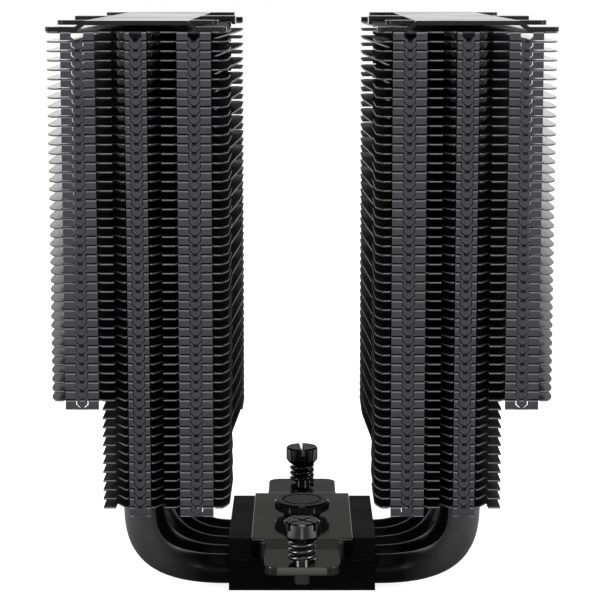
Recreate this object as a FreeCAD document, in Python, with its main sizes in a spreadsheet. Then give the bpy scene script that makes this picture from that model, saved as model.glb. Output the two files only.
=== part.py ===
import FreeCAD, Part
import math
import os
import Sketcher
from FreeCAD import Placement, Rotation, Vector

# Dual-tower processor cooler: two fin stacks on five U-shaped heat pipes, a contact
# block, and a sprung crossbar with a pressure knob.
#
# Frame: +Z up, origin at the centre of the base plate's contact face. The two towers
# stand apart along X, which is the way the air flows. Y runs along the fins' depth.
# All lengths are in millimetres.

DOC = FreeCAD.newDocument("tower_cooler")

# ---------------------------------------------------------------- driving dimensions

SIZE_ROWS = [
    # the two fin towers
    ("tower_offset", 40.0),
    ("fin_half_width", 22.0),
    ("fin_half_depth", 69.0),
    ("fin_sheet", 0.4),
    ("fin_pitch", 2.25),
    ("top_fin_height", 153.0),
    ("wide_fin_count", 41),
    ("narrow_fin_count", 12),
    ("side_dip", 4.3),
    ("side_step", 45.0),
    ("side_ramp_end", 40.0),
    ("corner_width", 1.8),
    ("corner_drop", 6.0),
    ("step_line", 9.1),
    ("collar_wall", 0.35),
    ("collar_drop", 1.5),
    # the recesses in a fin's front and rear edges
    ("saw_start", 3.5),
    ("saw_end", 6.0),
    ("saw_depth", 4.5),
    ("tab_relief", 0.4),
    # the bent tabs that space and interlock the fins
    ("tab_column", 14.0),
    ("tab_wide_half", 4.1),
    ("tab_slim_half", 2.6),
    ("tab_root", 1.0),
    ("tab_bend", 0.6),
    ("tab_gap", 0.22),
    ("notch_half", 1.5),
    ("notch_shoulder", 1.2),
    ("notch_taper_end", 1.95),
    ("slot_half", 0.6),
    ("slot_end", 2.6),
    ("tongue_reach", 1.9),
    ("tongue_gap", 0.2),
    # the heat pipes
    ("pipe_radius", 4.0),
    ("pipe_gap", 0.03),
    ("pipe_axis_height", 4.7),
    ("pipe_pitch_base", 8.8),
    ("pipe_pitch_tower", 26.0),
    ("pipe_offset", 41.6),
    ("pipe_bend_start", 20.7),
    ("pipe_bend_lead", 24.0),
    ("pipe_bend_rise", 9.0),
    ("pipe_bend_top", 34.0),
    ("pipe_tip_start", 152.6),
    ("pipe_tip_end", 154.2),
    ("pipe_tip_radius", 2.0),
    # the contact block
    ("base_half_width", 20.0),
    ("base_half_depth", 22.5),
    ("base_seam", 8.6),
    ("seam_gap", 0.03),
    ("base_top", 14.7),
    ("base_chamfer", 0.4),
    ("channel_half", 13.85),
    ("channel_floor", 12.85),
    ("foot_pocket_radius", 3.5),
    ("foot_pocket_floor", 9.9),
    # the crossbar
    ("bar_half_width", 13.75),
    ("bar_half_depth", 24.8),
    ("bar_top", 15.1),
    ("bar_sheet", 2.2),
    ("bar_drop", 1.4),
    ("bar_joggle_end", 29.5),
    ("ear_half_width", 10.0),
    ("ear_end", 46.4),
    ("ear_corner", 3.5),
    ("lug_width", 3.75),
    ("lug_bottom", 9.3),
    ("lug_corner", 1.8),
    ("lug_inside", 22.6),
    ("lug_bend", 1.2),
    ("screw_spacing", 83.0),
    ("screw_hole_radius", 2.23),
    ("stem_hole_radius", 2.58),
    # the spring screws, their springs and clips
    ("screw_radius", 2.15),
    ("screw_tip", 8.0),
    ("screw_tip_chamfer", 0.5),
    ("screw_head_bottom", 20.0),
    ("screw_head_shoulder", 21.2),
    ("screw_head_top", 25.0),
    ("screw_head_radius", 4.75),
    ("screw_head_seat", 3.8),
    ("screw_head_edge", 0.4),
    ("screw_slot_width", 0.9),
    ("screw_slot_depth", 2.0),
    ("front_screw_turn", 45.0),
    ("rear_screw_turn", 5.0),
    ("clip_top", 11.44),
    ("clip_thickness", 0.6),
    ("clip_radius", 3.3),
    ("clip_bore", 1.85),
    ("clip_groove", 1.78),
    ("clip_mouth", 3.0),
    ("spring_radius", 3.1),
    ("spring_wire", 0.62),
    ("spring_turns", 3),
    ("spring_seat_gap", 0.05),
    # the pressure knob and its foot
    ("knob_radius", 7.75),
    ("knob_top", 19.6),
    ("knob_bottom", 16.8),
    ("knob_edge", 0.5),
    ("knob_hub_radius", 5.2),
    ("knob_hub_bottom", 15.2),
    ("knob_stem_radius", 2.5),
    ("knob_ring_outer", 5.6),
    ("knob_ring_inner", 4.9),
    ("knob_ring_depth", 0.35),
    ("knurl_count", 48),
    ("knurl_radius", 0.3),
    ("foot_radius", 3.4),
    ("foot_bottom", 9.92),
    ("foot_top", 10.9),
    ("foot_edge", 0.25),
    # the top cover plates
    ("cover_sheet", 1.1),
    ("cover_step", 1.5),
    ("cover_half_depth", 68.5),
    ("cover_ear_length", 4.5),
    ("cover_ear_half_width", 21.8),
    ("cover_ear_corner", 1.2),
    ("cover_joggle_in", 12.5),
    ("cover_joggle_out", 14.7),
    ("cover_wing_relief", 0.4),
    ("cover_wing_length", 5.0),
    ("cover_wing_half_width", 19.5),
    ("cover_wing_corner", 2.2),
    ("cover_wing_root", 1.8),
    ("cover_lip_sheet", 0.9),
    ("cover_lip_half", 4.0),
    ("cover_lip_gap", 0.4),
]

SHEET = DOC.addObject("Spreadsheet::Sheet", "Sizes")
for row, (alias, size) in enumerate(SIZE_ROWS, start=1):
    SHEET.set(f"A{row}", alias)
    SHEET.set(f"B{row}", str(size))
    SHEET.setAlias(f"B{row}", alias)
DOC.recompute()

SIZES = dict(SIZE_ROWS)
PIPE_NUMBERS = (-2, -1, 0, 1, 2)
SIGNS = (1, -1)
FULL_TURN = 360.0
EDGE_TOLERANCE = 1e-3
SUB_PARTS = []


# ------------------------------------------------------------- formulas on the cells

def factor_and_name(term):
    """Split a term such as "2*fin_pitch" into its factor and its name or number."""
    factor, star, name = term.partition("*")
    return (float(factor), name) if star else (1.0, term)


def worth(formula):
    """Value of a sum of cell names and numbers, such as "base_top - channel_floor"."""
    total = 0.0
    sign = 1
    for term in formula.split():
        if term in "+-":
            sign = 1 if term == "+" else -1
            continue
        factor, name = factor_and_name(term)
        total += sign * factor * (SIZES[name] if name in SIZES else float(name))
        sign = 1
    return total


def bound(formula):
    """The same sum as an expression on the sheet's cells."""
    words = []
    for term in formula.split():
        name = factor_and_name(term)[1]
        words.append(term.replace(name, "Sizes." + name) if name in SIZES else term)
    return " ".join(words)


# ------------------------------------------------------------ sketches and features

def new_body(label):
    """A PartDesign body that becomes one sub-part."""
    body = DOC.addObject("PartDesign::Body", label)
    body.Label = label
    SUB_PARTS.append(body)
    return body


def new_sketch(body, plane_role, lift="0"):
    """A sketch on one of the body's own origin planes, lifted along its normal."""
    sketch = body.newObject("Sketcher::SketchObject", body.Label + "_sketch")
    plane = [item for item in body.Origin.OriginFeatures if item.Role == plane_role][0]
    sketch.AttachmentSupport = [(plane, "")]
    sketch.MapMode = "FlatFace"
    if lift != "0":
        sketch.setExpression("AttachmentOffset.Base.z", bound(lift))
    return sketch


def place_point(sketch, geometry, vertex, across, up):
    """Hold one sketch point at two formulas measured from the origin."""
    origin, horizontal_axis, vertical_axis = -1, -1, -2
    for formula, kind, axis in ((across, "DistanceX", vertical_axis), (up, "DistanceY", horizontal_axis)):
        if formula == "0":
            sketch.addConstraint(Sketcher.Constraint("PointOnObject", geometry, vertex, axis))
            continue
        index = sketch.addConstraint(
            Sketcher.Constraint(kind, origin, 1, geometry, vertex, worth(formula)))
        sketch.setExpression(f"Constraints[{index}]", bound(formula))


def draw_outline(sketch, corners):
    """A closed outline of straight lines through (across, up) formulas."""
    points = [Vector(worth(across), worth(up), 0) for across, up in corners]
    first = sketch.GeometryCount
    count = len(points)
    for index in range(count):
        sketch.addGeometry(Part.LineSegment(points[index], points[(index + 1) % count]), False)
    for index, (across, up) in enumerate(corners):
        following = first + (index + 1) % count
        sketch.addConstraint(Sketcher.Constraint("Coincident", first + index, 2, following, 1))
        place_point(sketch, first + index, 1, across, up)


def draw_rectangle(sketch, left, right, low, high):
    draw_outline(sketch, [(left, low), (right, low), (right, high), (left, high)])


def draw_circle(sketch, across, up, radius):
    index = sketch.addGeometry(
        Part.Circle(Vector(worth(across), worth(up), 0), Vector(0, 0, 1), worth(radius)), False)
    constraint = sketch.addConstraint(Sketcher.Constraint("Radius", index, worth(radius)))
    sketch.setExpression(f"Constraints[{constraint}]", bound(radius))
    place_point(sketch, index, 3, across, up)


def add_pad(body, sketch, length, symmetric=False):
    pad = body.newObject("PartDesign::Pad", body.Label + "_pad")
    pad.Profile = sketch
    pad.setExpression("Length", bound(length))
    pad.Midplane = symmetric
    DOC.recompute()
    return pad


def add_pocket(body, sketch, length=None, symmetric=False, upward=False):
    """A pocket that has to remove material; upward cuts along the sketch's normal."""
    DOC.recompute()
    before = body.Shape.Volume
    pocket = body.newObject("PartDesign::Pocket", body.Label + "_pocket")
    pocket.Profile = sketch
    if length is None:
        pocket.Type = "ThroughAll"
    else:
        pocket.setExpression("Length", bound(length))
    pocket.Midplane = symmetric
    pocket.Reversed = upward
    DOC.recompute()
    if body.Shape.Volume >= before:
        raise RuntimeError(pocket.Name + " cut nothing")
    return pocket


def add_revolution(body, corners):
    """A turned shape: (radius, height) corners spun about the vertical axis."""
    sketch = new_sketch(body, "XZ_Plane")
    draw_outline(sketch, corners)
    turned = body.newObject("PartDesign::Revolution", body.Label + "_turned")
    turned.Profile = sketch
    turned.ReferenceAxis = (sketch, ["V_Axis"])
    turned.Angle = FULL_TURN
    DOC.recompute()
    return turned


def round_edges(body, radius, chooses):
    """Fillet every edge of the body for which chooses(edge) is true."""
    base = body.Tip
    names = [f"Edge{number}" for number, edge in enumerate(base.Shape.Edges, start=1) if chooses(edge)]
    fillet = body.newObject("PartDesign::Fillet", body.Label + "_fillet")
    fillet.Base = (base, names)
    fillet.setExpression("Radius", bound(radius))
    DOC.recompute()
    return fillet


def is_upright(edge):
    """True for a straight edge that runs along Z."""
    box = edge.BoundBox
    return max(box.XLength, box.YLength) < EDGE_TOLERANCE < box.ZLength


def lies_at(edge, size):
    """True for an edge whose distance from the middle across X is the named size."""
    return abs(abs(edge.BoundBox.XMin) - SIZES[size]) < EDGE_TOLERANCE


def place(item, across=0.0, along=0.0, up=0.0, turn=0.0):
    """Move a finished sub-part to its place, turned about the vertical axis."""
    item.Placement = Placement(Vector(across, along, up), Rotation(Vector(0, 0, 1), turn))


def add_shape(label, shape):
    """A sub-part whose shape is built by Part's functions from the sheet's sizes."""
    item = DOC.addObject("Part::Feature", label)
    item.Label = label
    item.Shape = shape
    SUB_PARTS.append(item)
    return item


# --------------------------------------------------------------------- contact block

def draw_pipe_circles(sketch):
    for number in PIPE_NUMBERS:
        across = f"{number}*pipe_pitch_base" if number else "0"
        draw_circle(sketch, across, "pipe_axis_height", "pipe_radius + pipe_gap")


def make_block_half(label, low, height):
    """A rectangular half of the block, bored across by the five pipe grooves."""
    body = new_body(label)
    outline = new_sketch(body, "XY_Plane", low)
    draw_rectangle(outline, "-1*base_half_width", "base_half_width", "-1*base_half_depth", "base_half_depth")
    add_pad(body, outline, height)
    round_edges(body, "base_chamfer", is_upright)
    grooves = new_sketch(body, "YZ_Plane")
    draw_pipe_circles(grooves)
    add_pocket(body, grooves, symmetric=True)
    return body


def make_base_plate():
    make_block_half("base_plate", "0", "base_seam")


def make_base_cap():
    body = make_block_half("base_cap", "base_seam + seam_gap", "base_top - base_seam - seam_gap")
    channel = new_sketch(body, "XY_Plane", "base_top")
    draw_rectangle(channel, "-1*channel_half", "channel_half",
                   "-1*base_half_depth - 1", "base_half_depth + 1")
    add_pocket(body, channel, "base_top - channel_floor")
    pocket = new_sketch(body, "XY_Plane", "channel_floor")
    draw_circle(pocket, "0", "0", "foot_pocket_radius")
    add_pocket(body, pocket, "channel_floor - foot_pocket_floor")


# ------------------------------------------------------------------------ heat pipes

def pipe_path(number):
    """Centre line of one U-shaped pipe: through the block, then up into both towers."""
    low_y = number * SIZES["pipe_pitch_base"]
    high_y = number * SIZES["pipe_pitch_tower"]
    height = SIZES["pipe_axis_height"]
    arms = []
    for side in SIGNS:
        foot = Vector(side * SIZES["pipe_bend_start"], low_y, height)
        top = Vector(side * SIZES["pipe_offset"], high_y, SIZES["pipe_bend_top"])
        bend = Part.BezierCurve()
        bend.setPoles([
            foot,
            foot + Vector(side * SIZES["pipe_bend_lead"], 0, 0),
            top - Vector(0, 0, SIZES["pipe_bend_rise"]),
            top,
        ])
        end = Vector(top.x, top.y, SIZES["pipe_tip_start"])
        arms.append([foot, bend.toShape(), Part.makeLine(top, end)])
    right, left = arms
    return Part.Wire([left[2], left[1], Part.makeLine(left[0], right[0]), right[1], right[2]])


def make_heat_pipe(index, number):
    """One sealed pipe with a coned tip at each end."""
    path = pipe_path(number)
    side = SIZES["pipe_offset"]
    depth = number * SIZES["pipe_pitch_tower"]
    start = Vector(-side, depth, SIZES["pipe_tip_start"])
    ring = Part.Wire(Part.makeCircle(SIZES["pipe_radius"], start, Vector(0, 0, 1)))
    pipe = path.makePipeShell([ring], True, False)
    tip_height = SIZES["pipe_tip_end"] - SIZES["pipe_tip_start"]
    tips = [
        Part.makeCone(SIZES["pipe_radius"], SIZES["pipe_tip_radius"], tip_height,
                      Vector(across, depth, SIZES["pipe_tip_start"]))
        for across in (-side, side)
    ]
    add_shape(f"heat_pipe_{index}", pipe.fuse(tips).removeSplitter())


# ------------------------------------------------------------------------------ fins

def polygon_prism(corners, direction):
    """Prism on a closed flat polygon."""
    return Part.Face(Part.makePolygon(corners + corners[:1])).extrude(direction)


def straight_run(points):
    """Straight edges from each point to the next."""
    return [Part.makeLine(start, end) for start, end in zip(points, points[1:])]


def rounded_corner(start, end, side, drop):
    """Corner arc between a fin's end and its side, which it joins without a kink at drop."""
    width = SIZES["corner_width"]
    radius = (width ** 2 + SIZES["corner_drop"] ** 2) / (2 * width)
    half_angle = math.asin(SIZES["corner_drop"] / radius) / 2
    along = radius * math.sin(half_angle)
    across = side - radius + radius * math.cos(half_angle)
    middle = Vector(across, drop + math.copysign(along, drop), start.z)
    return Part.Arc(start, middle, end).toShape()


def fin_sheet(step_in_front):
    """A fin's flat sheet, top face at height 0.

    Each side is stepped in at one end and ramps out again towards the other.
    """
    width = SIZES["fin_half_width"]
    depth = SIZES["fin_half_depth"]
    root = depth - SIZES["tab_root"]
    slim = SIZES["tab_slim_half"] + SIZES["tab_relief"]
    column_end = SIZES["tab_column"] + SIZES["tab_wide_half"] + SIZES["tab_relief"]
    drop = depth - SIZES["corner_drop"]
    far_rim = [
        (0, root), (slim, root), (slim, depth), (SIZES["saw_start"], depth),
        (SIZES["saw_end"], depth - SIZES["saw_depth"]), (SIZES["saw_end"], depth),
        (SIZES["step_line"], depth), (SIZES["step_line"], root), (column_end, root),
        (column_end, depth), (width - SIZES["corner_width"], depth),
    ]
    dipped = width - SIZES["side_dip"]
    side = [(width, drop), (width, SIZES["side_ramp_end"]), (dipped, -SIZES["side_step"]),
            (width, -SIZES["side_step"]), (width, -drop)]
    near_rim = [(across, -along) for across, along in reversed(far_rim)]
    far_rim, side, near_rim = [
        [Vector(across, along, -SIZES["fin_sheet"]) for across, along in run]
        for run in (far_rim, side, near_rim)
    ]
    edges = straight_run(far_rim)
    edges.append(rounded_corner(far_rim[-1], side[0], width, drop))
    edges += straight_run(side)
    edges.append(rounded_corner(side[-1], near_rim[0], width, -drop))
    edges += straight_run(near_rim + far_rim[:1])
    half = Part.Face(Part.Wire(edges)).extrude(Vector(0, 0, SIZES["fin_sheet"]))
    if not step_in_front:
        half = half.mirror(Vector(0, 0, 0), Vector(0, 1, 0))
    return half.fuse(half.mirror(Vector(0, 0, 0), Vector(1, 0, 0))).removeSplitter()


def tab_notch(inset, top, shoulder, taper_end):
    """The V outline shared by a tab's notch and by the tongue that drops into it."""
    wide = SIZES["notch_half"] - inset
    narrow = SIZES["slot_half"] - inset
    return [(-wide, top), (-wide, shoulder), (-narrow, taper_end), (narrow, taper_end),
            (wide, shoulder), (wide, top)]


def bent_tab(half_width, has_tongue):
    """A spacing tab at the far edge of a fin, bent down one pitch, centred on X = 0.

    A tab with no fin below it has no tongue and is cut a little longer.
    """
    depth = SIZES["fin_half_depth"]
    sheet = SIZES["fin_sheet"]
    bend = SIZES["tab_bend"]
    root = depth - SIZES["tab_root"]
    next_fin = -SIZES["fin_pitch"]
    foot = next_fin + SIZES["tab_gap"] if has_tongue else next_fin - SIZES["tab_gap"]
    inner = bend - sheet
    middle = math.sqrt(0.5)
    centre = Vector(-half_width, depth - bend, -bend)
    outer_arc = Part.Arc(centre + Vector(0, 0, bend), centre + Vector(0, bend * middle, bend * middle),
                         centre + Vector(0, bend, 0)).toShape()
    inner_arc = Part.Arc(centre + Vector(0, inner, 0), centre + Vector(0, inner * middle, inner * middle),
                         centre + Vector(0, 0, inner)).toShape()
    corners = [centre + Vector(0, bend, 0), Vector(-half_width, depth, foot),
               Vector(-half_width, depth - sheet, foot), centre + Vector(0, inner, 0)]
    edges = [outer_arc] + straight_run(corners) + [inner_arc]
    back = [centre + Vector(0, 0, inner), Vector(-half_width, root, -sheet),
            Vector(-half_width, root, 0), centre + Vector(0, 0, bend)]
    edges += straight_run(back)
    tab = Part.Face(Part.Wire(edges)).extrude(Vector(2 * half_width, 0, 0))

    if has_tongue:
        start = foot + sheet
        shoulder = next_fin - SIZES["notch_shoulder"] + SIZES["tongue_gap"] / 2
        outline = tab_notch(SIZES["tongue_gap"], start, shoulder, next_fin - SIZES["tongue_reach"])
        corners = [Vector(across, depth - sheet, up) for across, up in outline]
        tab = tab.fuse(polygon_prism(corners, Vector(0, sheet, 0)))

    # the open notch that takes the tongue above, and the small slot below it
    start = root + SIZES["tongue_gap"]
    outline = tab_notch(0, sheet, -SIZES["notch_shoulder"], -SIZES["notch_taper_end"])
    corners = [Vector(across, start, up) for across, up in outline]
    opening = polygon_prism(corners, Vector(0, SIZES["tab_root"], 0))
    if has_tongue:
        slot = Part.makeBox(2 * SIZES["slot_half"], SIZES["tab_root"], SIZES["slot_end"],
                            Vector(-SIZES["slot_half"], start, -SIZES["slot_end"]))
        opening = opening.fuse(slot)
    return tab.cut(opening).removeSplitter()


def turned_half(shape):
    """The shape turned half a revolution about the vertical axis."""
    copy = shape.copy()
    copy.rotate(Vector(0, 0, 0), Vector(0, 0, 1), FULL_TURN / 2)
    return copy


def make_fin(step_in_front, outer_column=True, outer_tongue=True, tongues=True):
    """One complete fin centred on its tower, outer side towards +X, top at height 0.

    outer_column is False for a fin cut back at the step line.
    """
    sheet = fin_sheet(step_in_front)
    if not outer_column:
        depth = SIZES["fin_half_depth"]
        overhang = Part.makeBox(SIZES["fin_half_width"], 2 * depth, SIZES["fin_sheet"],
                                Vector(SIZES["step_line"], -depth, -SIZES["fin_sheet"]))
        sheet = sheet.cut(overhang)

    columns = [(-SIZES["tab_column"], SIZES["tab_wide_half"], tongues),
               (0.0, SIZES["tab_slim_half"], tongues)]
    if outer_column:
        columns.append((SIZES["tab_column"], SIZES["tab_wide_half"], outer_tongue))
    additions = []
    for across, half_width, has_tongue in columns:
        far_tab = bent_tab(half_width, has_tongue)
        near_tab = turned_half(far_tab)
        for tab in (far_tab, near_tab):
            tab.translate(Vector(across, 0, 0))
            additions.append(tab)

    bore = SIZES["pipe_radius"] + SIZES["pipe_gap"]
    down = Vector(0, 0, -1)
    bores = []
    across = SIZES["pipe_offset"] - SIZES["tower_offset"]
    for number in PIPE_NUMBERS:
        centre = Vector(across, number * SIZES["pipe_pitch_tower"], 0)
        drop = SIZES["fin_sheet"] + SIZES["collar_drop"]
        additions.append(Part.makeCylinder(bore + SIZES["collar_wall"], drop, centre, down))
        bores.append(Part.makeCylinder(bore, drop, centre, down))
    return sheet.fuse(additions).removeSplitter().cut(bores)


def stack_fins(label, fins, first, turn):
    """A run of fins, one pitch apart, from the fin numbered first counting down."""
    copies = []
    for index, fin in enumerate(fins):
        copy = fin.copy()
        copy.translate(Vector(SIZES["tower_offset"], 0,
                              SIZES["top_fin_height"] - (first + index) * SIZES["fin_pitch"]))
        copies.append(copy)
    place(add_shape(label, Part.makeCompound(copies)), turn=turn)


def make_towers():
    """Both fin stacks. By turns the fins have their side steps in front and behind."""
    orders = (True, False)
    wide = [make_fin(step_in_front) for step_in_front in orders]
    narrow = [make_fin(step_in_front, outer_column=False) for step_in_front in orders]
    step_number = SIZES["wide_fin_count"] - 1
    narrow_count = SIZES["narrow_fin_count"] - 1
    bottom_number = step_number + narrow_count + 1
    step = make_fin(orders[step_number % 2], outer_tongue=False)
    bottom = make_fin(orders[bottom_number % 2], outer_column=False, tongues=False)
    for name, turn in (("right", 0.0), ("left", FULL_TURN / 2)):
        stack_fins(f"{name}_fins_wide", [wide[number % 2] for number in range(step_number)], 0, turn)
        stack_fins(f"{name}_fin_step", [step], step_number, turn)
        narrow_run = [narrow[number % 2] for number in range(step_number + 1, bottom_number)]
        stack_fins(f"{name}_fins_narrow", narrow_run, step_number + 1, turn)
        stack_fins(f"{name}_fin_bottom", [bottom], bottom_number, turn)


# ------------------------------------------------------------------------ top covers

def make_top_cover(label, side):
    """A raised spine along the top fin, with low ears at the corners and side wings.

    The wings behind the ears are flat, and the middle ones end in a lip bent down.
    """
    body = new_body(label)
    low = "top_fin_height + seam_gap"
    high = f"{low} + cover_step"
    ear = "cover_ear_half_width"
    crossing = [
        (f"-1*{ear}", low), ("-1*cover_joggle_out", low), ("-1*cover_joggle_in", high),
        ("cover_joggle_in", high), ("cover_joggle_out", low), (ear, low),
        (ear, f"{low} + cover_sheet"), ("cover_joggle_out", f"{low} + cover_sheet"),
        ("cover_joggle_in", f"{high} + cover_sheet"), ("-1*cover_joggle_in", f"{high} + cover_sheet"),
        ("-1*cover_joggle_out", f"{low} + cover_sheet"), (f"-1*{ear}", f"{low} + cover_sheet"),
    ]
    section = new_sketch(body, "XZ_Plane")
    draw_outline(section, crossing)
    add_pad(body, section, "2*cover_half_depth", symmetric=True)

    sides = new_sketch(body, "XY_Plane", "top_fin_height")
    gap_end = "cover_half_depth - cover_ear_length"
    gap_start = "-1*cover_half_depth + cover_ear_length"
    for inner, outer in (("cover_joggle_in", f"{ear} + 1"), ("-1*cover_joggle_in", f"-1*{ear} - 1")):
        draw_rectangle(sides, inner, outer, gap_start, gap_end)
    add_pocket(body, sides, "2*cover_sheet + cover_step", upward=True)
    outer_line = SIZES["cover_half_depth"] - EDGE_TOLERANCE
    round_edges(body, "cover_ear_corner",
                lambda edge: is_upright(edge) and abs(edge.BoundBox.YMin) > outer_line)

    wings = new_sketch(body, "XY_Plane", high)
    wing = "cover_wing_half_width"
    wing_end = f"{gap_end} - cover_wing_relief"
    wing_end_front = f"{gap_start} + cover_wing_relief"
    draw_rectangle(wings, f"-1*{wing}", wing, f"{wing_end} - cover_wing_length", wing_end)
    draw_rectangle(wings, f"-1*{wing}", wing, wing_end_front, f"{wing_end_front} + cover_wing_length")
    draw_rectangle(wings, f"-1*{ear}", ear, "-1*cover_lip_half", "cover_lip_half")
    add_pad(body, wings, "cover_sheet")
    round_edges(body, "cover_wing_corner",
                lambda edge: is_upright(edge) and lies_at(edge, "cover_wing_half_width"))

    lips = new_sketch(body, "XY_Plane", "top_fin_height + cover_lip_gap")
    for inner, outer in ((f"{ear} - cover_lip_sheet", ear), (f"-1*{ear} + cover_lip_sheet", f"-1*{ear}")):
        draw_rectangle(lips, inner, outer, "-1*cover_lip_half", "cover_lip_half")
    add_pad(body, lips, "cover_step + cover_sheet + seam_gap - cover_lip_gap")
    inner_line = SIZES["cover_half_depth"] - SIZES["cover_ear_length"] - SIZES["cover_wing_relief"]
    round_edges(body, "cover_wing_root",
                lambda edge: is_upright(edge) and lies_at(edge, "cover_joggle_in")
                and abs(edge.BoundBox.YMin) < inner_line - EDGE_TOLERANCE)
    place(body, across=side * SIZES["tower_offset"])


# -------------------------------------------------------------------------- crossbar

def is_lug_bend(edge):
    """True for the top edge across one lug, where the plate turns down into it."""
    box = edge.BoundBox
    level = max(abs(box.ZMin - SIZES["bar_top"]), box.ZLength) < EDGE_TOLERANCE
    at_end = abs(abs(box.YMin) - SIZES["bar_half_depth"]) < EDGE_TOLERANCE
    return level and at_end and abs(box.XLength - SIZES["lug_width"]) < EDGE_TOLERANCE


def make_crossbar():
    """A bent plate: a wide middle with corner lugs, and a lowered ear at each end."""
    body = new_body("crossbar")
    top = "bar_top"
    low = "bar_top - bar_drop"
    under = "bar_top - bar_sheet"
    ear_under = "bar_top - bar_sheet - bar_drop"
    edge = "bar_half_depth"
    joggle = "bar_joggle_end"
    section = new_sketch(body, "YZ_Plane")
    draw_outline(section, [
        ("-1*ear_end", ear_under), ("-1*bar_joggle_end", ear_under), ("-1*bar_half_depth", under),
        (edge, under), (joggle, ear_under), ("ear_end", ear_under), ("ear_end", low), (joggle, low),
        (edge, top), ("-1*bar_half_depth", top), ("-1*bar_joggle_end", low), ("-1*ear_end", low),
    ])
    add_pad(body, section, "2*bar_half_width", symmetric=True)

    corners = new_sketch(body, "XY_Plane", "lug_bottom")
    for inner, outer in (("ear_half_width", "bar_half_width + 1"),
                         ("-1*ear_half_width", "-1*bar_half_width - 1")):
        for start, end in ((edge, "ear_end + 1"), ("-1*bar_half_depth", "-1*ear_end - 1")):
            draw_rectangle(corners, inner, outer, start, end)
    add_pocket(body, corners, "bar_top - lug_bottom", upward=True)
    end_line = SIZES["ear_end"] - EDGE_TOLERANCE
    round_edges(body, "ear_corner",
                lambda edge: is_upright(edge) and abs(edge.BoundBox.YMin) > end_line)

    lugs = new_sketch(body, "XY_Plane", "lug_bottom")
    for inner, outer in (("bar_half_width - lug_width", "bar_half_width"),
                         ("-1*bar_half_width + lug_width", "-1*bar_half_width")):
        for start, end in (("lug_inside", edge), ("-1*lug_inside", "-1*bar_half_depth")):
            draw_rectangle(lugs, inner, outer, start, end)
    add_pad(body, lugs, "bar_top - lug_bottom")
    foot_line = SIZES["lug_bottom"] + EDGE_TOLERANCE
    round_edges(body, "lug_corner",
                lambda edge: edge.BoundBox.ZMax < foot_line and edge.BoundBox.XLength < EDGE_TOLERANCE)
    round_edges(body, "lug_bend", is_lug_bend)

    holes = new_sketch(body, "XY_Plane", "lug_bottom")
    draw_circle(holes, "0", "0.5*screw_spacing", "screw_hole_radius")
    draw_circle(holes, "0", "-0.5*screw_spacing", "screw_hole_radius")
    draw_circle(holes, "0", "0", "stem_hole_radius")
    add_pocket(body, holes, "2*bar_top", upward=True)


# --------------------------------------------------------------------- spring screws

def make_screw(label, side):
    """A cheese-head screw with a cross slot and a groove for its clip."""
    body = new_body(label)
    clip_low = "clip_top - clip_thickness"
    add_revolution(body, [
        ("0", "screw_tip"), ("screw_radius - screw_tip_chamfer", "screw_tip"),
        ("screw_radius", "screw_tip + screw_tip_chamfer"),
        ("screw_radius", f"{clip_low} - seam_gap"), ("clip_groove", f"{clip_low} - seam_gap"),
        ("clip_groove", "clip_top + seam_gap"), ("screw_radius", "clip_top + seam_gap"),
        ("screw_radius", "screw_head_bottom"), ("screw_head_seat", "screw_head_bottom"),
        ("screw_head_radius", "screw_head_shoulder"),
        ("screw_head_radius", "screw_head_top - screw_head_edge"),
        ("screw_head_radius - screw_head_edge", "screw_head_top"), ("0", "screw_head_top"),
    ])
    reach = "screw_head_radius + 1"
    back = "-1*screw_head_radius - 1"
    half = "0.5*screw_slot_width"
    far_half = "-0.5*screw_slot_width"
    for across_range, along_range in (((back, reach), (far_half, half)), ((far_half, half), (back, reach))):
        slot = new_sketch(body, "XY_Plane", "screw_head_top")
        draw_rectangle(slot, *across_range, *along_range)
        add_pocket(body, slot, "screw_slot_depth")
    place(body, along=side * SIZES["screw_spacing"] / 2, turn=SIZES[label + "_turn"])


def make_clip(label, side):
    """An open retaining ring, snapped into the screw's groove under the crossbar."""
    body = new_body(label)
    ring = new_sketch(body, "XY_Plane", "clip_top - clip_thickness")
    draw_circle(ring, "0", "0", "clip_radius")
    draw_circle(ring, "0", "0", "clip_bore")
    add_pad(body, ring, "clip_thickness")
    mouth = new_sketch(body, "XY_Plane", "clip_top")
    draw_rectangle(mouth, "0", "clip_radius + 1", "-0.5*clip_mouth", "0.5*clip_mouth")
    add_pocket(body, mouth, "2*clip_thickness")
    place(body, along=side * SIZES["screw_spacing"] / 2)


def make_spring(label, side):
    """A coil spring between the crossbar's ear and the screw head's seat."""
    wire = SIZES["spring_wire"]
    seat = SIZES["bar_top"] - SIZES["bar_drop"] + SIZES["spring_seat_gap"] + wire
    top = SIZES["screw_head_bottom"] - SIZES["spring_seat_gap"] - wire
    radius = SIZES["spring_radius"]
    rise = (top - seat) / SIZES["spring_turns"]
    coil = Part.Wire(Part.makeHelix(rise, top - seat, radius))
    tilt = math.degrees(math.atan2(rise, 2 * math.pi * radius))
    end_face = Part.Wire(Part.makeCircle(wire, Vector(0, 0, 0), Vector(0, 1, 0)))
    end_face.rotate(Vector(0, 0, 0), Vector(1, 0, 0), tilt)
    end_face.translate(Vector(radius, 0, 0))
    spring = add_shape(label, coil.makePipeShell([end_face], True, True))
    place(spring, along=side * SIZES["screw_spacing"] / 2, up=seat)


# ------------------------------------------------------------------- pressure knob

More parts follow.
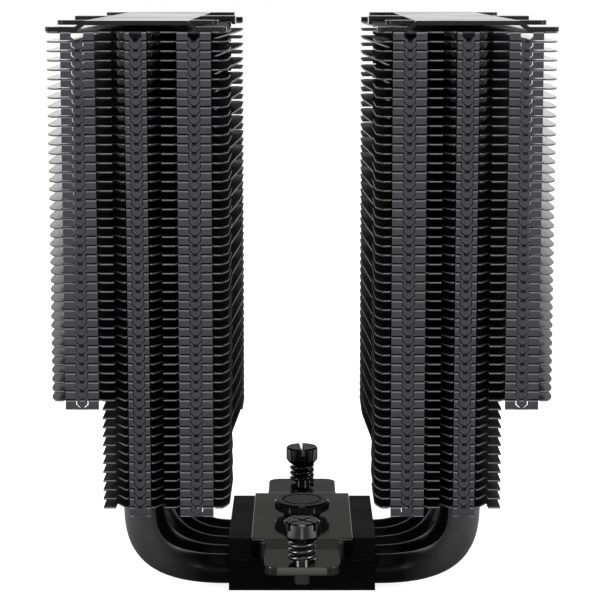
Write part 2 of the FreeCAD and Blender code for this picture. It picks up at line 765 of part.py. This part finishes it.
def make_knob():
    """A knurled disc on a hub and stem, with a plain ring groove in its top."""
    body = new_body("pressure_knob")
    stem_end = "foot_top + seam_gap"
    add_revolution(body, [
        ("0", stem_end), ("knob_stem_radius", stem_end), ("knob_stem_radius", "knob_hub_bottom"),
        ("knob_hub_radius", "knob_hub_bottom"), ("knob_hub_radius", "knob_bottom"),
        ("knob_radius - knob_edge", "knob_bottom"), ("knob_radius", "knob_bottom + knob_edge"),
        ("knob_radius", "knob_top - knob_edge"), ("knob_radius - knob_edge", "knob_top"),
        ("knob_ring_outer", "knob_top"), ("knob_ring_outer", "knob_top - knob_ring_depth"),
        ("knob_ring_inner", "knob_top - knob_ring_depth"), ("knob_ring_inner", "knob_top"),
        ("0", "knob_top"),
    ])
    groove = new_sketch(body, "XY_Plane", "knob_top")
    draw_circle(groove, "knob_radius", "0", "knurl_radius")
    knurl = add_pocket(body, groove, "knob_top - knob_bottom")
    pattern = body.newObject("PartDesign::PolarPattern", "knurling")
    pattern.Originals = [knurl]
    pattern.Axis = (groove, ["N_Axis"])
    pattern.Angle = FULL_TURN
    pattern.setExpression("Occurrences", bound("knurl_count"))
    body.Tip = pattern
    DOC.recompute()


def make_foot():
    """The hardened foot that the knob's stem turns on and pushes into the cap."""
    body = new_body("pressure_foot")
    add_revolution(body, [
        ("0", "foot_bottom"), ("foot_radius - foot_edge", "foot_bottom"),
        ("foot_radius", "foot_bottom + foot_edge"), ("foot_radius", "foot_top"), ("0", "foot_top"),
    ])


# ------------------------------------------------------------------ build and export

def check_document():
    """Stop if any object failed or any sub-part has no sound shape."""
    DOC.recompute()
    for item in DOC.Objects:
        if "Invalid" in item.State or "Error" in item.State:
            raise RuntimeError(f"{item.Name} is {item.State}")
    for item in SUB_PARTS:
        if item.Shape.isNull() or not item.Shape.isValid():
            raise RuntimeError(item.Label + " has no valid shape")


def export_sub_parts():
    os.makedirs("parts", exist_ok=True)
    for item in SUB_PARTS:
        item.Shape.exportStep(f"parts/{item.Label}.step")
        box = item.Shape.BoundBox
        print(f"{item.Label:20s} solids {len(item.Shape.Solids):3d} faces {len(item.Shape.Faces):5d} "
              f"volume {item.Shape.Volume:9.1f} z {box.ZMin:6.2f} to {box.ZMax:6.2f}")


make_base_plate()
make_base_cap()
for pipe_index, pipe_number in enumerate(PIPE_NUMBERS, start=1):
    make_heat_pipe(pipe_index, pipe_number)
make_towers()
make_top_cover("right_top_cover", 1)
make_top_cover("left_top_cover", -1)
make_crossbar()
for end_name, end_side in (("front", -1), ("rear", 1)):
    make_screw(f"{end_name}_screw", end_side)
    make_clip(f"{end_name}_screw_clip", end_side)
    make_spring(f"{end_name}_spring", end_side)
make_knob()
make_foot()
check_document()
export_sub_parts()
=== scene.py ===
import math

import bpy
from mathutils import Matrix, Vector


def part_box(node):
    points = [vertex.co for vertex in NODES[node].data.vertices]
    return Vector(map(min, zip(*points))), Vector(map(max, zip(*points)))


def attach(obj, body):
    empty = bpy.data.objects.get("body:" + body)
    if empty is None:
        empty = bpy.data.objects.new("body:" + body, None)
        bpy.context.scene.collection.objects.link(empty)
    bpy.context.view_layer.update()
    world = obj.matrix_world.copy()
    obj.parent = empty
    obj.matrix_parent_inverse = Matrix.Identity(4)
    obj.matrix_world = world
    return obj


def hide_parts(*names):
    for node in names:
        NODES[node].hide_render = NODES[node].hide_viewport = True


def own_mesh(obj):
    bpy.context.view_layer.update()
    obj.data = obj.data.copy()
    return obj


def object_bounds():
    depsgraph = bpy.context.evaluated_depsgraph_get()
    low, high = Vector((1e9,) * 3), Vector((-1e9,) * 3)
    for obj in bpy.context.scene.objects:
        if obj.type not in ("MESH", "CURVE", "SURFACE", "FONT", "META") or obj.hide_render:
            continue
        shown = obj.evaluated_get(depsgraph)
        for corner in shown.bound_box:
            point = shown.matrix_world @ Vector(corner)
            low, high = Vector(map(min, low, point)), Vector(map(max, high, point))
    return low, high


# Looks for the dual-tower cooler. The frame's +Z is up, the towers stand at -X and +X,
# and the camera looks along +Y. Lengths are in metres.

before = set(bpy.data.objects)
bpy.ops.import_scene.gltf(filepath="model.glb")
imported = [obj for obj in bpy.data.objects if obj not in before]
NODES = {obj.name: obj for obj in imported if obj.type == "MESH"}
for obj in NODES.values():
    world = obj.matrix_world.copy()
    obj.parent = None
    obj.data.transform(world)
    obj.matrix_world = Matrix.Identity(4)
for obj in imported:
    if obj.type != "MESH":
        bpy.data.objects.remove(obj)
cad_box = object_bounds()

MM = 0.001
SHEET = 0.4 * MM
TAB_SPACING = 14.0 * MM
TONGUE_HALF = 1.6 * MM
BAND_LEAD = 0.02  # how far above a fin its bands start, as a share of the pitch
FOOT_SHADE_START = 0.88
FOOT_SHADE_FULL = 0.91
SPRING_WIRE = 0.62 * MM
SPRING_TURNS = 3
RINGS_PER_TURN = 40
WIRE_SIDES = 16
BEVEL_SAMPLES = 4
OPENNESS_SAMPLES = 6
FLOOR_HALF = 6.0
STUDIO_AIM = (0.0, 0.0, 0.08)
COPPER = (0.055, 0.034, 0.028, 1.0)
DARK_NICKEL = (0.155, 0.154, 0.143, 1.0)
PALE_NICKEL = (0.195, 0.193, 0.18, 1.0)
TOWERS = ("left", "right")
FIN_RUNS = ("fins_wide", "fin_step", "fins_narrow", "fin_bottom")


# ------------------------------------------------------------------- node shorthand

class Shader:
    """A material under construction, with short calls for the nodes it needs."""

    def __init__(self, owner, surface):
        self.owner = owner
        self.tree = owner.node_tree
        self.surface = self.tree.nodes[surface]
        self.coordinates = self.add("ShaderNodeTexCoord").outputs
        self.place = self.coordinates["Object"]

    @classmethod
    def of_material(cls, name):
        material = bpy.data.materials.new(name)
        material.use_nodes = True
        return cls(material, "Principled BSDF")

    @classmethod
    def of_world(cls, world):
        return cls(world, "Background")

    def add(self, kind, **settings):
        node = self.tree.nodes.new(kind)
        for key, value in settings.items():
            setattr(node, key, value)
        return node

    def join(self, source, target):
        self.tree.links.new(source, target)

    def feed(self, target, value):
        """Set an input to a number or colour, or link it to another node's output."""
        if isinstance(value, bpy.types.NodeSocket):
            self.join(value, target)
        else:
            target.default_value = value

    def math(self, operation, first, second=0.0):
        node = self.add("ShaderNodeMath", operation=operation)
        self.feed(node.inputs[0], first)
        self.feed(node.inputs[1], second)
        return node.outputs[0]

    def both(self, first, second):
        """1 only where both masks are 1."""
        return self.math("MULTIPLY", first, second)

    def size_of(self, value):
        return self.math("ABSOLUTE", value)

    def ramp(self, value, low, high, start=0.0, end=1.0):
        """Stretch value from low..high to start..end, held at both ends."""
        node = self.add("ShaderNodeMapRange")
        node.clamp = True
        for index, item in enumerate((value, low, high, start, end)):
            self.feed(node.inputs[index], item)
        return node.outputs[0]

    def stretched(self, scale):
        node = self.add("ShaderNodeMapping")
        self.join(self.place, node.inputs["Vector"])
        node.inputs["Scale"].default_value = scale
        return node.outputs["Vector"]

    def noise(self, scale, detail=4.0, roughness=0.55, place=None):
        node = self.add("ShaderNodeTexNoise")
        self.join(place or self.place, node.inputs["Vector"])
        node.inputs["Scale"].default_value = scale
        node.inputs["Detail"].default_value = detail
        node.inputs["Roughness"].default_value = roughness
        return node.outputs["Fac"]

    def mix(self, factor, first, second):
        node = self.add("ShaderNodeMix", data_type="RGBA")
        self.feed(node.inputs["Factor"], factor)
        self.feed(node.inputs["A"], first)
        self.feed(node.inputs["B"], second)
        for socket in node.outputs:
            if socket.type == "RGBA":
                return socket

    def choose(self, factor, first, second):
        """The first number where factor is 0 and the second where it is 1."""
        node = self.add("ShaderNodeMix", data_type="FLOAT")
        for socket, value in zip(node.inputs, (factor, None, first, second)):
            if value is not None:
                self.feed(socket, value)
        return node.outputs[0]

    def split(self, vector):
        """The three parts of a vector, in the order across, depth, height."""
        node = self.add("ShaderNodeSeparateXYZ")
        self.join(vector, node.inputs[0])
        return node.outputs

    def facing(self):
        """How far a face points across, along and up, each from 0 to 1 and without a sign."""
        normal = self.add("ShaderNodeNewGeometry").outputs["Normal"]
        return [self.size_of(part) for part in self.split(normal)]

    def bump(self, height, strength, distance, normal=None):
        """Set the surface's normals to a bump, on top of the given normals if there are any."""
        node = self.add("ShaderNodeBump")
        self.join(height, node.inputs["Height"])
        node.inputs["Strength"].default_value = strength
        node.inputs["Distance"].default_value = distance
        if normal is not None:
            self.join(normal, node.inputs["Normal"])
        self.join(node.outputs["Normal"], self.surface.inputs["Normal"])

    def rounded(self, radius):
        """The normals the surface would have with its sharp edges rounded."""
        node = self.add("ShaderNodeBevel", samples=BEVEL_SAMPLES)
        node.inputs["Radius"].default_value = radius
        return node.outputs["Normal"]

    def soft_edges(self, radius, height, strength, distance):
        """Round the sharp edges, with a bump on top."""
        self.bump(height, strength, distance, self.rounded(radius))

    def edge_wear(self, radius):
        """1 on the sharp edges and 0 elsewhere, from how far the rounded normal turns."""
        geometry = self.add("ShaderNodeNewGeometry")
        dot = self.add("ShaderNodeVectorMath", operation="DOT_PRODUCT")
        self.join(self.rounded(radius), dot.inputs[0])
        self.join(geometry.outputs["Normal"], dot.inputs[1])
        turned = self.math("SUBTRACT", 1.0, dot.outputs["Value"])
        return self.ramp(turned, 0.02, 0.14)

    def openness(self, reach):
        """1 on open faces, falling to 0 in creases narrower than about the reach; used to paint shade into
        creases.
        """
        node = self.add("ShaderNodeAmbientOcclusion", samples=OPENNESS_SAMPLES)
        node.inputs["Distance"].default_value = reach
        return self.ramp(node.outputs["AO"], 0.35, 0.85)

    def finish(self, **inputs):
        """Set the surface's inputs, with words joined by underscores for their names."""
        for key, value in inputs.items():
            name = key.replace("_", " ").title().replace("Ior", "IOR")
            self.feed(self.surface.inputs[name], value)
        return self.owner


def grey(level, blue=0.0):
    return (level, level, level * (1 + blue), 1.0)


# ------------------------------------------------------------------------ materials

def fin_material():
    """Satin black coated aluminium. Each thin sheet's edge is painted dark as shade, with a bright line
    along its sheared top that is partly bare metal and partly a painted highlight.

    The flat faces are painted near black as shade between the fins, the tabs are greyer, and their bends
    are painted lighter as a highlight.
    """
    shader = Shader.of_material("fin_coating")
    facing_across, facing_along, facing_up = shader.facing()
    squarely = shader.math("MAXIMUM", facing_across, facing_along)
    upright = shader.ramp(facing_up, 0.35, 0.65, 1.0, 0.0)
    flat = shader.ramp(upright, 0.0, 1.0, 1.0, 0.0)
    bend_highlight = shader.both(shader.ramp(facing_up, 0.12, 0.40), shader.ramp(facing_up, 0.75, 0.93, 1.0, 0.0))
    grain = shader.noise(2600.0, 3.0)
    cloud = shader.noise(45.0, 4.0)
    streaks = shader.noise(1.0, 6.0, 0.7, shader.stretched((900.0, 900.0, 120.0)))
    scuffs = shader.math("MULTIPLY", shader.ramp(streaks, 0.55, 0.75), 0.25)
    tab_coat = shader.mix(scuffs, shader.mix(cloud, grey(0.040, 0.14), grey(0.058, 0.16)), grey(0.10, 0.08))
    # Painted shade: the flat faces between the fins are near black, the upright tabs greyer.
    coat = shader.mix(upright, grey(0.003, 0.06), tab_coat)
    # Painted highlight: the bends at the tops of the tabs are lighter.
    coat = shader.mix(bend_highlight, coat, grey(0.17, 0.04))
    edge_shade_band, burr_highlight_band, foot_shade_band = fin_bands(shader)
    # Painted shade: the sheet's edge band is darkened.
    on_edge_shade = shader.both(edge_shade_band, shader.ramp(squarely, 0.955, 0.985))
    coat = shader.mix(on_edge_shade, coat, grey(0.008))
    # A bright line along the sheared top of each edge, partly bare metal and partly a painted highlight,
    # brightest on faces that point squarely across or along.
    on_burr_highlight = shader.both(burr_highlight_band, shader.both(upright, shader.ramp(squarely, 0.86, 0.96, 0.10, 1.0)))
    coat = shader.mix(on_burr_highlight, coat, grey(0.24, 0.04))
    # Painted shade: a dark line at the foot of each tab, just above the next fin.
    coat = shader.mix(shader.both(foot_shade_band, upright), coat, grey(0.004))
    # Painted shade: creases and seams narrower than about 0.6 mm are darkened to near black.
    colour = shader.mix(shader.openness(0.6 * MM), grey(0.001), coat)
    glossier = shader.both(outer_tips(shader), flat)
    rough = shader.choose(glossier, shader.ramp(cloud, 0.3, 0.7, 0.36, 0.46), 0.08)
    gloss = shader.choose(glossier, shader.ramp(upright, 0.0, 1.0, 0.24, 0.38), 0.60)
    shader.bump(grain, 0.20, 0.04 * MM)
    return shader.finish(base_color=colour, roughness=rough, metallic=0.0, specular_ior_level=gloss)


def fin_bands(shader):
    """Three bands repeated at every fin: its whole edge, painted dark as shade; the sheared burr on top of
    that, a bright line that is partly bare metal and partly a painted highlight; the tab's foot, painted
    dark as shade.

    They leave out the tongues, which hang across the next fin's edge.
    """
    pitch, top = fin_pitch_and_top()
    across, _, height = shader.split(shader.place)
    fins_down = shader.math("DIVIDE", shader.math("SUBTRACT", top, height), pitch)
    into_pitch = shader.math("FRACT", shader.math("ADD", fins_down, BAND_LEAD))
    edge_share = SHEET / pitch
    edge = shader.ramp(into_pitch, 1.05 * edge_share, 1.15 * edge_share, 1.0, 0.0)
    burr_highlight = shader.ramp(into_pitch, 0.45 * edge_share, 0.75 * edge_share, 1.0, 0.0)
    foot = shader.ramp(into_pitch, FOOT_SHADE_START, FOOT_SHADE_FULL)
    from_column = shader.math("SUBTRACT", shader.size_of(across), tower_centre())
    columns_out = shader.math("ADD", shader.math("DIVIDE", from_column, TAB_SPACING), 0.5)
    off_middle = shader.size_of(shader.math("SUBTRACT", shader.math("FRACT", columns_out), 0.5))
    tongue_share = TONGUE_HALF / TAB_SPACING
    clear = shader.ramp(off_middle, tongue_share, 1.05 * tongue_share)
    return [shader.both(band, clear) for band in (edge, burr_highlight, foot)]


def tower_centre():
    """Distance from the middle of the cooler to the middle of a tower."""
    low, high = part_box("right_fins_wide")
    return (low.x + high.x) / 2


def outer_tips(shader):
    """The fins' outermost few millimetres, shown glossier so that they mirror the white surround."""
    outer_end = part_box("right_fins_wide")[1].x
    from_middle = shader.size_of(shader.split(shader.place)[0])
    return shader.ramp(from_middle, outer_end - 7 * MM, outer_end - 5 * MM)


def fin_pitch_and_top():
    """The fins' pitch and the top fin's upper face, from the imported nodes."""
    next_below_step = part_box("left_fins_narrow")[1].z
    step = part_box("left_fin_step")[1].z
    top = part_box("left_fins_wide")[1].z
    return step - next_below_step, top


def cover_material():
    """Glossy black lacquer over the joggled cover plate, with faint orange peel."""
    shader = Shader.of_material("cover_lacquer")
    peel = shader.noise(260.0, 2.0)
    dust = shader.ramp(shader.noise(1800.0, 2.0), 0.62, 0.70)
    smear = shader.ramp(shader.noise(24.0, 5.0), 0.35, 0.75, 0.10, 0.20)
    wear = shader.edge_wear(0.22 * MM)
    facing_up = shader.facing()[2]
    colour = shader.mix(shader.noise(55.0, 4.0), grey(0.008, 0.08), grey(0.022, 0.08))
    colour = shader.mix(wear, colour, grey(0.035, 0.04))
    colour = shader.mix(shader.math("MULTIPLY", dust, 0.08), colour, grey(0.16))
    gloss = shader.ramp(facing_up, 0.3, 0.8, 0.12, 0.65)
    shader.soft_edges(0.25 * MM, peel, 0.02, 0.1 * MM)
    return shader.finish(base_color=colour, roughness=smear, specular_ior_level=gloss)


def pipe_material(name, painted_light_level):
    """Black plated heat pipe: drawn streaks and a copper tint where it is rubbed. Its bends away from the
    block are painted grey as light, fading to black as painted shade near the block and up among the fins.
    """
    shader = Shader.of_material(name)
    streaks = shader.noise(1.0, 5.0, 0.6, shader.stretched((420.0, 420.0, 30.0)))
    cloud = shader.noise(60.0, 4.0)
    rub = shader.ramp(shader.noise(300.0, 6.0, 0.65), 0.66, 0.74)
    across, _, height = shader.split(shader.place)
    lowest_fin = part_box("left_fin_bottom")[0].z
    away_from_block = shader.ramp(shader.size_of(across), 27 * MM, 42 * MM)
    below_fins = shader.ramp(height, lowest_fin, lowest_fin + 4 * MM, 1.0, 0.05)
    painted_light_grey = shader.mix(streaks, grey(0.7 * painted_light_level), grey(painted_light_level))
    colour = shader.mix(cloud, grey(0.003, 0.05), grey(0.007, 0.08))
    # Painted light: grey on the bends away from the block, fading to black as painted shade near the block
    # and among the fins.
    colour = shader.mix(shader.both(away_from_block, below_fins), colour, painted_light_grey)
    colour = shader.mix(shader.math("MULTIPLY", rub, 0.35), colour, COPPER)
    rough = shader.ramp(streaks, 0.3, 0.7, 0.28, 0.38)
    shader.bump(streaks, 0.10, 0.1 * MM)
    return shader.finish(base_color=colour, roughness=rough, metallic=0.0, specular_ior_level=0.2)


def block_material(name, level, rough_low, rough_high):
    """Milled contact block, black plated: long fine tool marks under a satin coat."""
    shader = Shader.of_material(name)
    marks = shader.noise(1.0, 3.0, 0.6, shader.stretched((60.0, 60.0, 2400.0)))
    cloud = shader.noise(90.0, 4.0)
    wear = shader.edge_wear(0.22 * MM)
    colour = shader.mix(cloud, grey(level * 0.7, 0.15), grey(level * 1.3, 0.2))
    colour = shader.mix(wear, colour, grey(0.03, 0.05))
    rough = shader.ramp(marks, 0.3, 0.7, rough_low, rough_high)
    shader.soft_edges(0.3 * MM, marks, 0.10, 0.06 * MM)
    return shader.finish(base_color=colour, roughness=rough, metallic=0.0, specular_ior_level=0.06)


def mirror_nickel_material():
    """Polished black nickel: a dark mirror with a little ripple and handling marks."""
    shader = Shader.of_material("black_nickel")
    ripple = shader.noise(160.0, 2.0)
    smear = shader.noise(70.0, 5.0)
    wear = shader.both(shader.edge_wear(0.15 * MM), shader.ramp(ripple, 0.4, 0.6, 0.0, 0.5))
    colour = shader.mix(smear, DARK_NICKEL, PALE_NICKEL)
    colour = shader.mix(wear, colour, grey(0.28))
    colour = shader.mix(on_lugs(shader), colour, grey(0.010))
    rough = shader.ramp(smear, 0.3, 0.75, 0.05, 0.13)
    shader.soft_edges(0.4 * MM, ripple, 0.05, 0.1 * MM)
    return shader.finish(base_color=colour, roughness=rough, metallic=1.0)


def on_lugs(shader):
    """The upright faces of the bar's four lugs, shown nearly black as if they mirrored a dark room."""
    facing_along = shader.facing()[1]
    from_middle = shader.size_of(shader.split(shader.place)[0])
    beside_ears = shader.ramp(from_middle, 10.5 * MM, 11.5 * MM)
    return shader.both(shader.ramp(facing_along, 0.5, 0.9), beside_ears)


def fastener_material(name, level, rough, edge):
    """Black nickel on turned steel: fine turning rings, bright reflections, rubbed rims."""
    shader = Shader.of_material(name)
    rings = shader.noise(1.0, 3.0, 0.6, shader.stretched((150.0, 150.0, 5200.0)))
    blotch = shader.noise(520.0, 4.0)
    wear = shader.both(shader.edge_wear(edge), shader.ramp(blotch, 0.4, 0.6, 0.3, 1.0))
    colour = shader.mix(blotch, grey(level * 0.8), grey(level * 1.2))
    colour = shader.mix(wear, colour, grey(min(1.0, level * 2.0)))
    roughness = shader.ramp(rings, 0.3, 0.7, rough, rough + 0.08)
    shader.soft_edges(edge, rings, 0.10, 0.04 * MM)
    return shader.finish(base_color=colour, roughness=roughness, metallic=1.0)


def steel_material():
    """Bare turned steel for the hidden pressure foot."""
    shader = Shader.of_material("turned_steel")
    rings = shader.noise(1.0, 4.0, 0.6, shader.stretched((200.0, 200.0, 6000.0)))
    colour = shader.mix(rings, grey(0.30), grey(0.42, 0.02))
    rough = shader.ramp(rings, 0.3, 0.7, 0.25, 0.4)
    shader.soft_edges(0.2 * MM, rings, 0.15, 0.04 * MM)
    return shader.finish(base_color=colour, roughness=rough, metallic=1.0)


def give(material, *names):
    """Dress CAD nodes through their objects' own material slots."""
    for name in names:
        piece = NODES[name]
        if not piece.material_slots:
            piece.data.materials.append(None)
        for holder in piece.material_slots:
            holder.link = "OBJECT"
            holder.material = material


def dress_cad_nodes():
    give(fin_material(), *[f"{side}_{run}" for side in TOWERS for run in FIN_RUNS])
    give(cover_material(), *[f"{side}_top_cover" for side in TOWERS])
    # The outer pipes 1 and 5 get grey painted light on their bends; the inner pipes 2 to 4 get almost none,
    # as painted shade.
    give(pipe_material("outer_pipe_plating_lit", 0.135), "heat_pipe_1", "heat_pipe_5")
    give(pipe_material("inner_pipe_plating_shaded", 0.006), "heat_pipe_2", "heat_pipe_3", "heat_pipe_4")
    give(block_material("plate_plating", 0.0035, 0.35, 0.48), "base_plate")
    give(block_material("cap_plating", 0.0060, 0.40, 0.52), "base_cap")
    give(mirror_nickel_material(), "crossbar")
    # The rear screw, clip and spring are painted darker than the front ones, as painted shade from the
    # towers.
    give(fastener_material("front_screw_nickel", 0.24, 0.10, 0.25 * MM), "front_screw")
    give(fastener_material("front_clip_finish", 0.20, 0.12, 0.20 * MM), "front_screw_clip")
    give(fastener_material("rear_screw_nickel_shaded", 0.09, 0.10, 0.15 * MM), "rear_screw")
    give(fastener_material("rear_clip_shaded", 0.07, 0.12, 0.15 * MM), "rear_screw_clip")
    give(fastener_material("knob_plating", 0.05, 0.10, 0.08 * MM), "pressure_knob")
    give(steel_material(), "pressure_foot")


# -------------------------------------------------------------------------- springs

def coil_mesh(name, low, high):
    """A round wire wound upwards in a helix that fills the box from low to high."""
    middle = (low + high) / 2
    coil_radius = (high.x - low.x) / 2 - SPRING_WIRE
    rise = high.z - low.z - 2 * SPRING_WIRE
    slope = rise / (SPRING_TURNS * math.tau * coil_radius)
    last_ring = SPRING_TURNS * RINGS_PER_TURN
    vertices = []
    for ring in range(last_ring + 1):
        turn = math.tau * ring / RINGS_PER_TURN
        outward = Vector((math.cos(turn), math.sin(turn), 0.0))
        onward = Vector((-math.sin(turn), math.cos(turn), slope)).normalized()
        upward = outward.cross(onward)
        centre = Vector((middle.x, middle.y, low.z + SPRING_WIRE + rise * ring / last_ring))
        centre += coil_radius * outward
        for side in range(WIRE_SIDES):
            around = math.tau * side / WIRE_SIDES
            vertices.append(centre + SPRING_WIRE * (math.cos(around) * outward + math.sin(around) * upward))
    faces = [tuple(range(WIRE_SIDES))]
    for ring in range(last_ring):
        for side in range(WIRE_SIDES):
            here = ring * WIRE_SIDES + side
            beside = ring * WIRE_SIDES + (side + 1) % WIRE_SIDES
            faces.append((here, here + WIRE_SIDES, beside + WIRE_SIDES, beside))
    faces.append(tuple(last_ring * WIRE_SIDES + side for side in reversed(range(WIRE_SIDES))))
    mesh = bpy.data.meshes.new(name)
    mesh.from_pydata(vertices, [], faces)
    mesh.shade_smooth()
    return mesh


def make_spring(end, material):
    """The coil under one screw's head, wound to fill the box of the model's spring part."""
    low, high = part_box(f"{end}_spring")
    mesh = coil_mesh(f"{end}_coil", low, high)
    mesh.materials.append(material)
    coil = bpy.data.objects.new(f"{end}_coil", mesh)
    bpy.context.scene.collection.objects.link(coil)
    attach(coil, "heatsink")
    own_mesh(coil)
    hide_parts(f"{end}_spring")


def make_springs():
    make_spring("front", fastener_material("front_spring_finish", 0.20, 0.12, 0.20 * MM))
    # Painted shade: the rear spring is darker than the front one.
    make_spring("rear", fastener_material("rear_spring_shaded", 0.07, 0.12, 0.15 * MM))


# --------------------------------------------------------------------- studio and camera

def floor_material():
    """Plain white floor. The camera sees it white and the object's matt faces see it pale.

    Polished faces see it as a studio floor with dark flags: white to both sides, with one
    bright strip in the middle at the front.
    """
    shader = Shader.of_material("studio_floor")
    path = shader.add("ShaderNodeLightPath").outputs
    tone = shader.noise(3.0, 2.0)
    to_camera = shader.mix(tone, grey(0.92), grey(0.94))
    to_object = shader.mix(tone, grey(0.30), grey(0.34))
    colour = shader.mix(path["Is Camera Ray"], to_object, to_camera)
    colour = shader.mix(path["Is Glossy Ray"], colour, grey(0.04))
    across, along, _ = shader.split(shader.place)
    from_middle = shader.size_of(across)
    sides = shader.ramp(from_middle, 55 * MM, 120 * MM)
    near_middle = shader.ramp(from_middle, 8 * MM, 12 * MM, 0.5, 0.0)
    in_front = shader.ramp(along, -90 * MM, -80 * MM, 1.0, 0.0)
    strip = shader.both(near_middle, in_front)
    mirrored = shader.math("MAXIMUM", shader.math("MAXIMUM", sides, strip), 0.05)
    seen = shader.math("MULTIPLY", path["Is Camera Ray"], 0.85)
    glow = shader.choose(path["Is Glossy Ray"], seen, mirrored)
    shader.feed(shader.surface.inputs["Emission Color"], grey(1.0))
    shader.join(glow, shader.surface.inputs["Emission Strength"])
    return shader.finish(base_color=colour, roughness=0.8, specular_ior_level=0.1)


def make_floor():
    """A square of floor just under the contact face."""
    signs = ((-1, -1), (1, -1), (1, 1), (-1, 1))
    corners = [(across * FLOOR_HALF, along * FLOOR_HALF, 0) for across, along in signs]
    mesh = bpy.data.meshes.new("studio_floor")
    mesh.from_pydata(corners, [], [(0, 1, 2, 3)])
    floor = bpy.data.objects.new("studio_floor", mesh)
    floor.location.z = cad_box[0].z - 0.02 * MM
    mesh.materials.append(floor_material())
    bpy.context.scene.collection.objects.link(floor)


def make_softbox(name, place, width, height, power, mirrored=True):
    """A rectangular light aimed at the cooler, in metres and watts.

    One that isn't mirrored lights the object but stays out of its reflections.
    """
    light = bpy.data.lights.new(name, "AREA")
    light.shape = "RECTANGLE"
    light.size = width
    light.size_y = height
    light.energy = power
    holder = bpy.data.objects.new(name, light)
    holder.location = place
    holder.rotation_euler = (Vector(STUDIO_AIM) - Vector(place)).to_track_quat("-Z", "Y").to_euler()
    holder.visible_glossy = mirrored
    bpy.context.scene.collection.objects.link(holder)


def make_world():
    """White to the camera. The object sees a dark studio in front of a white surround.

    Its polished faces mirror a white band at the horizon that fades upwards to black, and
    a dim ceiling. Its matt faces are lit softly, mostly from in front.
    """
    world = bpy.data.worlds.new("studio")
    world.use_nodes = True
    shader = Shader.of_world(world)
    _, along, height = shader.split(shader.coordinates["Generated"])
    path = shader.add("ShaderNodeLightPath").outputs
    steepness = shader.size_of(height)
    horizon = shader.ramp(steepness, 0.06, 0.24, 0.87, 0.0)
    low_sky = shader.ramp(steepness, 0.31, 0.38, 0.13, 0.0)
    ceiling = shader.ramp(steepness, 0.65, 0.85, 0.0, 0.26)
    mirrored = shader.math("ADD", shader.math("ADD", low_sky, horizon), ceiling)
    lit = shader.ramp(along, -0.9, 0.2, 0.55, 0.08)
    felt = shader.choose(path["Is Glossy Ray"], lit, mirrored)
    shader.feed(shader.surface.inputs["Color"], grey(1.0))
    shader.join(shader.choose(path["Is Camera Ray"], felt, 1.0), shader.surface.inputs["Strength"])
    bpy.context.scene.world = world


def light_studio():
    """The surround, a box at each side, two above and one behind."""
    make_world()
    make_softbox("left_box", (-0.80, -0.45, 0.25), 0.4, 0.8, 5.0)
    make_softbox("right_box", (0.80, -0.45, 0.25), 0.4, 0.8, 5.0)
    make_softbox("top_box", (0.0, -0.25, 0.95), 0.7, 0.7, 5.0, mirrored=False)
    make_softbox("top_strip", (0.0, -0.25, 0.90), 0.7, 0.12, 0.2)
    make_softbox("back_box", (0.0, 1.1, 0.30), 1.6, 0.5, 4.0, mirrored=False)


def make_camera():
    """A long lens in front of the cooler, a little above its top, looking slightly down."""
    distance = 545.0 * MM
    height = 165.1 * MM
    pitch = math.radians(7.5)
    data = bpy.data.cameras.new("photo_camera")
    data.sensor_width = 36.0
    data.lens = 118.5
    data.shift_y = -0.0985
    data.shift_x = -0.0033
    data.clip_start = 0.01
    camera = bpy.data.objects.new("photo_camera", data)
    camera.location = (0.0, -distance, height)
    camera.rotation_euler = (math.pi / 2 - pitch, 0.0, 0.0)
    bpy.context.scene.collection.objects.link(camera)
    bpy.context.scene.camera = camera


dress_cad_nodes()
make_springs()
make_floor()
light_studio()
make_camera()
bpy.context.scene.view_settings.view_transform = "Standard"
